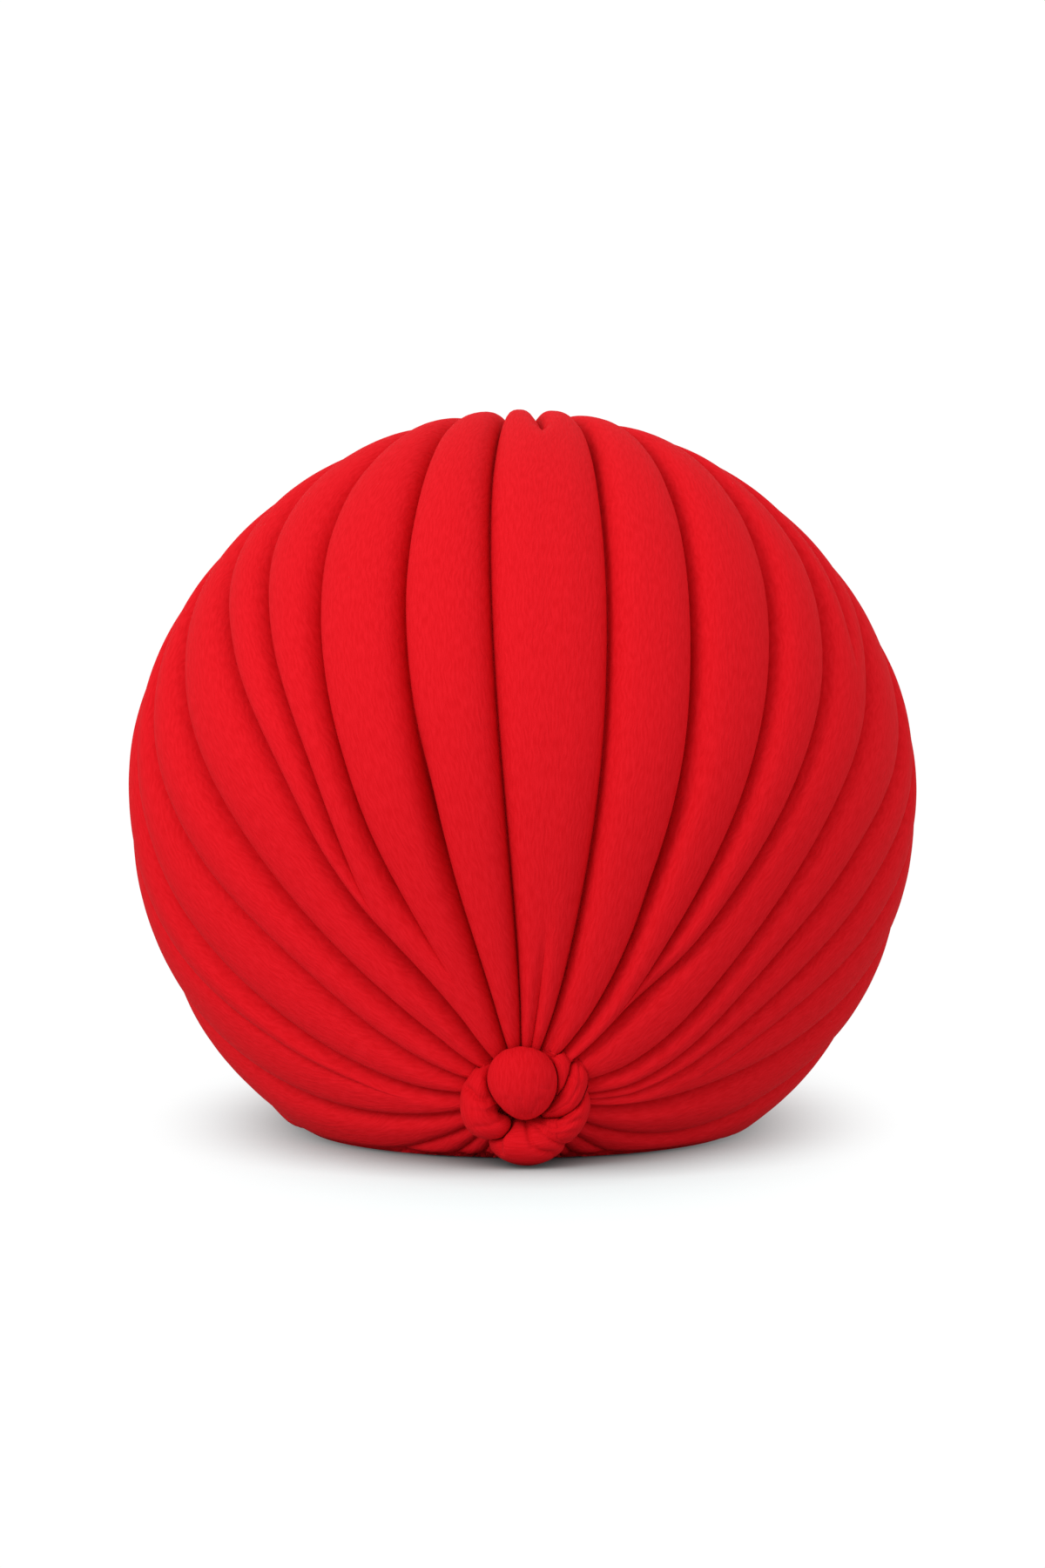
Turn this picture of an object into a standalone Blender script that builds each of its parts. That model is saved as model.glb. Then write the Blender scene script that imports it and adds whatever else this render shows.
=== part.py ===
"""A pleated turban hat: one hollow pleated crown, gathered low at the front into a knot of rolled cloth.

Units are metres and +Z is up. The hat stands on its open rim, with its front towards -Y and the
origin on the floor under its middle. Every pleat runs from the knot, low at the front, to the
gather, behind the top.
"""

from bisect import bisect_right
from collections import namedtuple
from math import acos, atan2, cos, exp, pi, radians, sin, sqrt

import bmesh
import bpy
from mathutils import Vector
from mathutils.bvhtree import BVHTree

# Driving sizes of the crown, as the smooth form that the crests of the pleats touch
WIDTH = 0.240
FRONT_REACH = 0.118
BACK_REACH = 0.121
RISE = 0.1167
CENTRE_HEIGHT = 0.1005
SIDE_DROP = 0.125
FRONT_DROP = 0.145
TOP_SQUARENESS = 1.87
LOW_SQUARENESS = 1.97
SQUARENESS_BLEND = 0.5
CENTRE = Vector((0.0, (FRONT_REACH - BACK_REACH) / 2, CENTRE_HEIGHT))

# Where the pleats meet, as angles above the horizon seen from the crown's centre
KNOT_ANGLE = radians(-40)
GATHER_ANGLE = radians(62)

# The cloth: the wall at a crest, and how deep a crease runs for the width of the pleats beside it
WALL = 0.0034
FULL_DEPTH = 0.0110
HALF_DEPTH_WIDTH = 0.018
PLEAT_ROUNDNESS = 2.4
INSIDE_RELIEF = 0.84
FADE = 0.12

# Towards the rim the pleats are pressed flatter and the cloth is turned under, so it is thicker
RIM_HEIGHT = 0.016
RIM_WALL = 0.0045
RIM_RELIEF = 0.30

# The cloth sinks in behind the knot and at the gather
KNOT_SEAT_DEPTH = 0.0040
KNOT_SEAT_REACH = 0.014
GATHER_DEPTH = 0.0060
GATHER_REACH = 0.010

# Mesh counts: strips across a pleat, rows from the knot to the gather, pleats across the back
STRIPS = 4
ROWS = 16
HIDDEN_PLEATS = 9
# A pleat is at most this many spaces between creases wide, where the creases inside it have faded
MOST_SPACES = 4

# Touching pieces keep this gap
GAP = 0.0003

MILLIMETRE = 0.001
TINY = 0.0001

CLOTH_RED = (0.72, 0.008, 0.018, 1.0)
CLOTH_ROUGHNESS = 0.85

# One row for each crease that shows. The first six columns are its angle round the hat, in
# degrees from the middle of the front, at each of the stations on the way from knot to gather.
# It shows from start to end of that way, or outside them where start is larger. depth scales it.
Crease = namedtuple("Crease", "name knot low belly waist high top start end depth")
STATIONS = (0.08, 0.20, 0.35, 0.50, 0.65, 0.78)
CREASES = (
    Crease("left_9", -129, -131, -132, -132, -132, -133, -1, 2, 1.0),
    Crease("left_8", -114, -115, -116, -116, -115, -115, -1, 2, 1.0),
    Crease("left_soft", -101, -99.5, -102, -102, -102, -102, 0.12, 2, 0.6),
    Crease("left_7", -96, -93, -92.5, -90, -89.5, -89.5, -1, 2, 1.0),
    Crease("left_6", -78, -76.5, -81, -83, -83.5, -83.5, -1, 2, 0.8),
    Crease("left_5", -61, -65, -69.5, -73.5, -76, -76, -1, 2, 1.0),
    Crease("left_4", -41, -49, -53.5, -59.5, -65, -65, -1, 2, 1.0),
    Crease("left_3", -38, -46.5, -47.5, -52, -55, -53, 0.24, 2, 0.9),
    Crease("left_2", -28, -36, -38, -39.5, -39, -35, 0.16, 2, 1.0),
    Crease("left_1", -18, -20.5, -22.5, -23, -21.5, -20.5, -1, 2, 1.2),
    Crease("centre", -1.5, -3.5, -5, -5.5, -6, -6, -1, 2, 1.1),
    Crease("tuck", 9, 8, 6, 5, 4.5, 5.5, 0.72, 0.14, 1.2),
    Crease("right_1", 21, 19, 17.5, 16.5, 16, 17.5, -1, 2, 1.1),
    Crease("right_2", 43, 38, 35, 33, 32, 31.5, -1, 2, 1.1),
    Crease("right_3", 51.5, 50, 50, 50, 49, 46.5, 0.13, 2, 1.0),
    Crease("right_4", 56.5, 57.5, 59.5, 62.5, 63, 59, -1, 2, 1.0),
    Crease("right_soft", 69, 65, 65.5, 68.5, 70, 68, 0.56, 2, 0.7),
    Crease("right_5", 83, 71.5, 70, 74.5, 77.5, 77, -1, 2, 0.9),
    Crease("right_6", 94, 80.5, 80.5, 87, 88.5, 88.5, -1, 2, 0.9),
    Crease("right_7", 98.5, 89, 89.5, 94.5, 96, 97, -1, 2, 0.8),
    Crease("right_thin", 102, 96, 98, 101, 103, 104, 0.18, 2, 0.5),
    Crease("right_8", 107, 107, 110, 112, 112.5, 114, -1, 2, 1.3),
    Crease("right_9", 124, 122, 122, 123, 124, 125.5, -1, 2, 0.9),
)

# One row for each station along a roll of the knot: how far right of the middle, forward and up
# its middle is, and half its width and half its thickness there, all in millimetres.
KNOT_FRONT = -0.1010
Station = namedtuple("Station", "right forward up half_width half_thickness")
BALL = Station(-0.2, 5.0, 25.3, 10.4, 9.0)
BALL_HALF_HEIGHT = 11.1
ROLLS = {
    "knot_left_turn": (
        Station(-8.0, -1.0, 30.0, 4.2, 4.0),
        Station(-12.6, 1.0, 23.5, 5.8, 5.5),
        Station(-11.2, 2.5, 15.8, 7.2, 6.5),
        Station(-5.4, 3.0, 12.4, 5.0, 5.0),
        Station(-0.6, 2.0, 14.0, 2.4, 3.0),
    ),
    "knot_outer_strand": (
        Station(14.6, -1.0, 32.0, 2.8, 4.0),
        Station(15.6, 1.0, 26.0, 4.0, 5.0),
        Station(12.6, 2.5, 19.0, 4.4, 5.0),
        Station(5.0, 3.0, 14.6, 2.6, 3.5),
    ),
    "knot_right_turn": (
        Station(17.0, -1.5, 24.5, 3.0, 4.0),
        Station(16.0, 0.5, 17.0, 4.8, 5.0),
        Station(11.6, 2.0, 11.0, 5.6, 6.0),
        Station(5.4, 2.5, 11.2, 4.2, 5.0),
        Station(0.6, 1.5, 13.4, 2.2, 3.0),
    ),
    "knot_inner_strand": (
        Station(6.5, -1.5, 33.0, 3.8, 3.5),
        Station(10.2, 0.0, 29.0, 4.6, 4.5),
        Station(10.4, 1.0, 23.0, 4.4, 4.5),
        Station(8.8, 1.5, 18.0, 2.6, 3.0),
    ),
    "knot_bottom_turn": (
        Station(-10.0, -0.5, 9.5, 3.0, 4.0),
        Station(-5.0, 0.5, 6.6, 6.0, 5.5),
        Station(1.2, 1.0, 6.2, 6.6, 5.8),
        Station(7.6, 0.5, 6.6, 5.6, 5.2),
        Station(12.5, -1.0, 9.5, 3.4, 3.5),
    ),
}
# How blunt the ends of a roll are, and the step along it that its direction is taken over
ROLL_BLUNTNESS = 5
ROLL_STEP = 0.02
ROLL_SIDES = 12
ROLL_ROWS = 14
BALL_SIDES = 24
BALL_ROWS = 14


def ease(value):
    """Rises smoothly from 0 to 1 as value does."""
    value = min(max(value, 0.0), 1.0)
    return value * value * (3.0 - 2.0 * value)


def through(stations, values, at):
    """The value at a place on the smooth curve through the values at the stations, flat past its ends."""
    if at <= stations[0]:
        return values[0]
    if at >= stations[-1]:
        return values[-1]
    index = bisect_right(stations, at) - 1
    last = len(stations) - 1
    before, after = max(index - 1, 0), min(index + 2, last)
    span = stations[index + 1] - stations[index]
    slope_in = (values[index + 1] - values[before]) / (stations[index + 1] - stations[before])
    slope_out = (values[after] - values[index]) / (stations[after] - stations[index])
    part = (at - stations[index]) / span
    rest = 1.0 - part
    return (
        values[index] * (1.0 + 2.0 * part) * rest**2
        + values[index + 1] * (3.0 - 2.0 * part) * part**2
        + span * (slope_in * part * rest**2 - slope_out * rest * part**2)
    )


def envelope(direction):
    """The point of the smooth outer form in a unit direction from the crown's centre."""
    reach_y = FRONT_REACH if direction.y < 0 else BACK_REACH
    frontal = direction.y**2 / (direction.x**2 + direction.y**2 + TINY)
    drop = SIDE_DROP + (FRONT_DROP - SIDE_DROP) * frontal
    reach_z = RISE if direction.z > 0 else drop
    power = LOW_SQUARENESS + (TOP_SQUARENESS - LOW_SQUARENESS) * ease(direction.z / SQUARENESS_BLEND)
    total = abs(direction.x / (WIDTH / 2)) ** power
    total += abs(direction.y / reach_y) ** power
    total += abs(direction.z / reach_z) ** power
    return CENTRE + direction * total ** (-1.0 / power)


KNOT_POLE = Vector((0.0, -cos(KNOT_ANGLE), sin(KNOT_ANGLE)))
GATHER_POLE = Vector((0.0, cos(GATHER_ANGLE), sin(GATHER_ANGLE)))


def direction_at(angle, way):
    """The unit direction at an angle round the hat and a part, 0 to 1, of the way from knot to gather.

    A pleat lies in a plane through both poles, so the direction is found where a line from the
    middle of the chord between them meets the unit sphere.
    """
    middle = (KNOT_POLE + GATHER_POLE) / 2
    axis = (GATHER_POLE - KNOT_POLE).normalized()
    side = Vector((1.0, 0.0, 0.0))
    front = side.cross(axis)
    outward = front * cos(angle) + side * sin(angle)
    line = outward * sin(pi * way) - axis * cos(pi * way)
    along = line.dot(middle)
    return middle + line * (sqrt(along**2 - middle.dot(middle) + 1.0) - along)


def share(crease, way):
    """How much of a crease shows at a part of the way, 0 to 1."""
    grown = ease((way - crease.start) / FADE + 0.5)
    left = 1.0 - ease((way - crease.end) / FADE + 0.5)
    return grown * left if crease.start < crease.end else max(grown, left)


def creases_at(way):
    """The angle, share and depth scale of every crease at a part of the way, in order round the hat."""
    found = []
    for crease in CREASES:
        angles = crease[1:7]
        found.append((through(STATIONS, angles, way), share(crease, way), crease.depth))
    first, last = found[0][0] + 360.0, found[-1][0]
    for index in range(1, HIDDEN_PLEATS):
        found.append((last + (first - last) * index / HIDDEN_PLEATS, 1.0, 1.0))
    return found


# A crease in one row: its angle, the space up to the next one, how far it reaches, and its depth
Fold = namedtuple("Fold", "angle space reach_left reach_right depth")


def crease_row(way):
    """The folds of one row, in order round the hat."""
    creases = creases_at(way)
    count = len(creases)
    places = [envelope(direction_at(radians(angle), way)) for angle, _, _ in creases]
    spaces = [(places[(index + 1) % count] - places[index]).length for index in range(count)]

    def pleat_width(index, step):
        """The width up to the next crease that shows, going right for step 1 and left for step -1."""
        total, faded = 0.0, 1.0
        for _ in range(MOST_SPACES):
            total += faded * spaces[index if step == 1 else (index - 1) % count]
            index = (index + step) % count
            faded *= 1.0 - creases[index][1]
        return total

    row = []
    for index, (angle, shown, scale) in enumerate(creases):
        left, right = pleat_width(index, -1), pleat_width(index, 1)
        width = (left + right) / 2
        depth = shown * scale * FULL_DEPTH * width / (width + HALF_DEPTH_WIDTH)
        row.append(Fold(angle, spaces[index], left / 2, right / 2, depth))
    return row


def groove(distance, reach, depth):
    """How far below the crest the cloth lies at a distance from a crease."""
    if distance >= reach or reach <= 0.0:
        return 0.0
    out = 1.0 - distance / reach
    return depth * (1.0 - sqrt(1.0 - out**PLEAT_ROUNDNESS))


def relief(row, lobe, part):
    """How far the cloth lies below the crests, at a part, 0 to 1, of the space after a crease."""
    count = len(row)
    deepest = 0.0
    distance = part * row[lobe].space
    for step in range(MOST_SPACES):
        fold = row[(lobe - step) % count]
        deepest = max(deepest, groove(distance, fold.reach_right, fold.depth))
        distance += row[(lobe - step - 1) % count].space
    distance = (1.0 - part) * row[lobe].space
    for step in range(1, MOST_SPACES + 1):
        fold = row[(lobe + step) % count]
        deepest = max(deepest, groove(distance, fold.reach_left, fold.depth))
        distance += fold.space
    return deepest


def sink(point):
    """How far the cloth is drawn in round the knot and the gather."""
    total = 0.0
    for pole, depth, width in (
        (KNOT_POLE, KNOT_SEAT_DEPTH, KNOT_SEAT_REACH),
        (GATHER_POLE, GATHER_DEPTH, GATHER_REACH),
    ):
        distance = (point - envelope(pole)).length
        total += depth * exp(-((distance / width) ** 2))
    return total


def facing_out(shape):
    """The same closed mesh, with its faces turned to point out."""
    if shape.calc_volume(signed=True) < 0:
        bmesh.ops.reverse_faces(shape, faces=shape.faces)
    return shape


def pleated_shell(inset, rim_inset, relief_scale, rim_relief_scale):
    """A closed pleated surface: a sphere whose columns follow the creases from knot to gather.

    inset is how far it lies inside the crests and relief_scale how deep its creases are, each
    with its own value at the rim.
    """
    pleats = len(CREASES) + HIDDEN_PLEATS - 1
    columns = pleats * STRIPS
    shell = bmesh.new()
    bmesh.ops.create_uvsphere(shell, u_segments=columns, v_segments=ROWS, radius=1.0)
    table = [crease_row(index / ROWS) for index in range(ROWS + 1)]
    for vertex in shell.verts:
        level = round(acos(min(max(vertex.co.z, -1.0), 1.0)) / pi * ROWS)
        column = round(atan2(vertex.co.y, vertex.co.x) / (2 * pi) * columns) % columns
        lobe, part = column // STRIPS, column % STRIPS / STRIPS
        row = table[level]
        start, end = row[lobe].angle, row[(lobe + 1) % pleats].angle
        angle = start + part * ((end - start) % 360.0)
        direction = direction_at(radians(angle), level / ROWS)
        point = envelope(direction)
        raised = ease(point.z / RIM_HEIGHT)
        depth = sink(point) + rim_inset + (inset - rim_inset) * raised
        scale = rim_relief_scale + (relief_scale - rim_relief_scale) * raised
        depth += scale * relief(row, lobe, part)
        vertex.co = point - (point - CENTRE).normalized() * depth
    return facing_out(shell)


def roll_mesh(stations):
    """A round-ended roll of cloth along the smooth line through its stations."""
    roll = bmesh.new()
    bmesh.ops.create_uvsphere(roll, u_segments=ROLL_SIDES, v_segments=ROLL_ROWS, radius=1.0)
    places = tuple(index / (len(stations) - 1) for index in range(len(stations)))
    columns = list(zip(*stations))

    def middle(at):
        right, forward, up = (through(places, columns[axis], at) * MILLIMETRE for axis in range(3))
        return Vector((right, KNOT_FRONT - forward, up))

    for vertex in roll.verts:
        at = acos(min(max(vertex.co.z, -1.0), 1.0)) / pi
        across = Vector((vertex.co.x, vertex.co.y))
        across = across.normalized() if across.length > TINY else Vector((0.0, 0.0))
        ahead = (middle(min(at + ROLL_STEP, 1.0)) - middle(max(at - ROLL_STEP, 0.0))).normalized()
        sideways = ahead.cross(Vector((0.0, -1.0, 0.0))).normalized()
        outward = sideways.cross(ahead)
        rounding = sqrt(max(1.0 - abs(2 * at - 1) ** ROLL_BLUNTNESS, 0.0)) * MILLIMETRE
        half_width = through(places, columns[3], at) * rounding
        half_thickness = through(places, columns[4], at) * rounding
        vertex.co = middle(at) + sideways * across.x * half_width + outward * across.y * half_thickness
    return facing_out(roll)


def ball_mesh():
    """The ball of the knot."""
    ball = bmesh.new()
    bmesh.ops.create_uvsphere(ball, u_segments=BALL_SIDES, v_segments=BALL_ROWS, radius=1.0)
    size = Vector((BALL.half_width, BALL.half_thickness, BALL_HALF_HEIGHT)) * MILLIMETRE
    bmesh.ops.scale(ball, vec=size, verts=ball.verts)
    place = Vector((BALL.right, -BALL.forward, BALL.up)) * MILLIMETRE + Vector((0.0, KNOT_FRONT, 0.0))
    bmesh.ops.translate(ball, vec=place, verts=ball.verts)
    return ball


def grown(shape, amount):
    """A copy of a closed mesh with every point moved out along its normal."""
    copy = shape.copy()
    copy.normal_update()
    moves = [(vertex, vertex.normal * amount) for vertex in copy.verts]
    for vertex, move in moves:
        vertex.co += move
    return copy


def block(low, high):
    """A box between two corners."""
    box = bmesh.new()
    bmesh.ops.create_cube(box, size=1.0)
    bmesh.ops.scale(box, vec=high - low, verts=box.verts)
    bmesh.ops.translate(box, vec=(low + high) / 2, verts=box.verts)
    return box


def add_object(name, shape, material=None):
    """Makes an object of a bmesh and frees it."""
    mesh = bpy.data.meshes.new(name)
    shape.to_mesh(mesh)
    shape.free()
    mesh.shade_smooth()
    obj = bpy.data.objects.new(name, mesh)
    bpy.context.scene.collection.objects.link(obj)
    if material is not None:
        mesh.materials.append(material)
    return obj


def add_cutter(name, shape):
    """A helper that is taken away from other pieces and isn't part of the hat."""
    cutter = add_object(name, shape)
    cutter.hide_render = True
    cutter.display_type = "WIRE"
    return cutter


def cut(obj, cutter):
    """Takes a cutter away from an object."""
    modifier = obj.modifiers.new(f"less {cutter.name}", "BOOLEAN")
    modifier.operation = "DIFFERENCE"
    modifier.solver = "EXACT"
    modifier.object = cutter


def cross(first, second):
    """Whether the surfaces of two objects cross, before any cuts."""
    trees = []
    for mesh in (first.data, second.data):
        corners = [vertex.co for vertex in mesh.vertices]
        faces = [face.vertices for face in mesh.polygons]
        trees.append(BVHTree.FromPolygons(corners, faces))
    return bool(trees[0].overlap(trees[1]))


def cloth(name):
    """Matt red cloth."""
    material = bpy.data.materials.new(name)
    material.use_nodes = True
    shader = material.node_tree.nodes["Principled BSDF"]
    shader.inputs["Base Color"].default_value = CLOTH_RED
    shader.inputs["Roughness"].default_value = CLOTH_ROUGHNESS
    shader.inputs["Metallic"].default_value = 0.0
    return material


def build_crown(floor):
    """The hollow crown, cut flat where it rests, and the cutter that keeps the knot clear of it."""
    outside = pleated_shell(0.0, 0.0, 1.0, RIM_RELIEF)
    clearance = add_cutter("clearance_crown", grown(outside, GAP))
    crown = add_object("crown", outside, cloth("crown_cloth"))
    inside = pleated_shell(WALL, RIM_WALL, INSIDE_RELIEF, 0.0)
    cut(crown, add_cutter("hollow", inside))
    cut(crown, floor)
    return clearance


def build_knot(clearance, floor):
    """The ball and the rolls round it. Each roll gives way to the pieces made before it."""
    shapes = {"knot_ball": ball_mesh()}
    for name, stations in ROLLS.items():
        shapes[name] = roll_mesh(stations)
    made = [clearance, floor]
    for name, shape in shapes.items():
        keep_clear = add_cutter(f"clearance_{name}", grown(shape, GAP))
        piece = add_object(name, shape, cloth(f"{name}_cloth"))
        for cutter in made:
            if cross(piece, cutter):
                cut(piece, cutter)
        made.append(keep_clear)


def main():
    for obj in list(bpy.data.objects):
        bpy.data.objects.remove(obj, do_unlink=True)
    low, high = Vector((-WIDTH, -WIDTH, -WIDTH)), Vector((WIDTH, WIDTH, 0.0))
    floor = add_cutter("floor", block(low, high))
    clearance = build_crown(floor)
    build_knot(clearance, floor)


main()
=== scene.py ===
"""The looks of a pleated turban hat in red crinkled crepe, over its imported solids.

Metres, +Z up, the front with the knot towards -Y. The hat stands on its rim at z = 0.
"""

import logging
from bisect import bisect_right
from dataclasses import dataclass, field
from enum import Enum
from math import acos, atan2, cos, exp, pi, radians, sin, sqrt, tau

import bmesh
import bpy
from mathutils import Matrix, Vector, noise
from mathutils.bvhtree import BVHTree


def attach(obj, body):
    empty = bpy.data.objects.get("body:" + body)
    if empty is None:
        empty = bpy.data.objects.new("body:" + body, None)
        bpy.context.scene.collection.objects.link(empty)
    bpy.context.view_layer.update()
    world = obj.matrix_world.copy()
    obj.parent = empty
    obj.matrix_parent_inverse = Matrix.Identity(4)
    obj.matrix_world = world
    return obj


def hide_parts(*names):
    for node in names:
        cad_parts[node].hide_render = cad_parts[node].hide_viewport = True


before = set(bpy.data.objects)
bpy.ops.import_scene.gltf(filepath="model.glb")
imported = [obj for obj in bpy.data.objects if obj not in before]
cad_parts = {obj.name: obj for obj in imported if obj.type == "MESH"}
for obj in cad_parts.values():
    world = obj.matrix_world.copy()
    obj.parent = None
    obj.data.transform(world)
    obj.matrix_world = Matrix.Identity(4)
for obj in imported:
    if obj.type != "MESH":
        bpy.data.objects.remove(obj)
log = logging.getLogger("turban_hat")

MILLIMETRE = 0.001
TINY = 0.0001
# Cubic centimetres in a cubic metre
CUBIC_CM = 1e6
WHITE = (1.0, 1.0, 1.0, 1.0)
NOISE_MIDDLE = (0.5, 0.5, 0.5)
Spots = list[tuple[float, float, float]]


def ease(value: float) -> float:
    """Rises smoothly from 0 to 1 as value does."""
    value = min(max(value, 0.0), 1.0)
    return value * value * (3.0 - 2.0 * value)


def through(stations: tuple[float, ...], values: tuple[float, ...], at: float) -> float:
    """Reads a smooth curve.

    Args:
        stations: Where along the curve its values are given.
        values: The values there.
        at: The place to read, held at the end values outside the stations.

    Returns:
        The curve's value at that place.
    """
    if at <= stations[0]:
        return values[0]
    if at >= stations[-1]:
        return values[-1]
    index = bisect_right(stations, at) - 1
    before, after = max(index - 1, 0), min(index + 2, len(stations) - 1)
    span = stations[index + 1] - stations[index]
    slope_in = (values[index + 1] - values[before]) / (stations[index + 1] - stations[before])
    slope_out = (values[after] - values[index]) / (stations[after] - stations[index])
    part = (at - stations[index]) / span
    rest = 1.0 - part
    return (
        values[index] * (1.0 + 2.0 * part) * rest**2
        + values[index + 1] * (3.0 - 2.0 * part) * part**2
        + span * (slope_in * part * rest**2 - slope_out * rest * part**2)
    )


def unwrapped(angle: float, near: float) -> float:
    """Returns the same angle with whole turns added, so that it is the closest to another."""
    return angle + tau * round((near - angle) / tau)


def facing_out(shape: bmesh.types.BMesh) -> None:
    """Turns the faces of a closed mesh to point out."""
    if shape.calc_volume(signed=True) < 0:
        bmesh.ops.reverse_faces(shape, faces=shape.faces)


def add_piece(
    name: str, shape: bmesh.types.BMesh, material: bpy.types.Material
) -> bpy.types.Object:
    """Makes a smooth object of a mesh.

    Args:
        name: The object's name.
        shape: The mesh in its final place, which is freed.
        material: What it is made of.

    Returns:
        The new object, at the origin.
    """
    mesh = bpy.data.meshes.new(name)
    shape.to_mesh(mesh)
    shape.free()
    mesh.shade_smooth()
    mesh.materials.append(material)
    piece = bpy.data.objects.new(name, mesh)
    bpy.context.scene.collection.objects.link(piece)
    return piece


def linear(code: str) -> tuple[float, float, float, float]:
    """Turns an sRGB hex colour such as #e0202a to linear values with an alpha of 1."""
    values = []
    for start in (1, 3, 5):
        value = int(code[start : start + 2], 16) / 255
        values.append(value / 12.92 if value <= 0.04045 else ((value + 0.055) / 1.055) ** 2.4)
    return (values[0], values[1], values[2], 1.0)


def add_node(
    tree: bpy.types.NodeTree, kind: str, inputs: dict, **settings: object
) -> bpy.types.Node:
    """Adds a node with its settings and links.

    Args:
        tree: The node tree that it goes into.
        kind: The node's type.
        inputs: For each input socket, by name or number, a value or the output that feeds it.
        settings: The node's own properties.

    Returns:
        The new node.
    """
    node = tree.nodes.new(kind)
    for name, value in settings.items():
        setattr(node, name, value)
    for key, value in inputs.items():
        if isinstance(value, bpy.types.NodeSocket):
            tree.links.new(value, node.inputs[key])
        else:
            node.inputs[key].default_value = value
    return node


def add_strength(tree: bpy.types.NodeTree, lit: float, shown: float) -> bpy.types.NodeSocket:
    """Adds a strength that differs between what a surface lights and what it shows.

    Args:
        tree: The node tree that it goes into.
        lit: The strength with which it lights other things.
        shown: The strength that the camera sees.

    Returns:
        The output that holds the strength.
    """
    path = add_node(tree, "ShaderNodeLightPath", {})
    strength = add_node(
        tree,
        "ShaderNodeMapRange",
        {"Value": path.outputs["Is Camera Ray"], "To Min": lit, "To Max": shown},
    )
    return strength.outputs["Result"]


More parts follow.
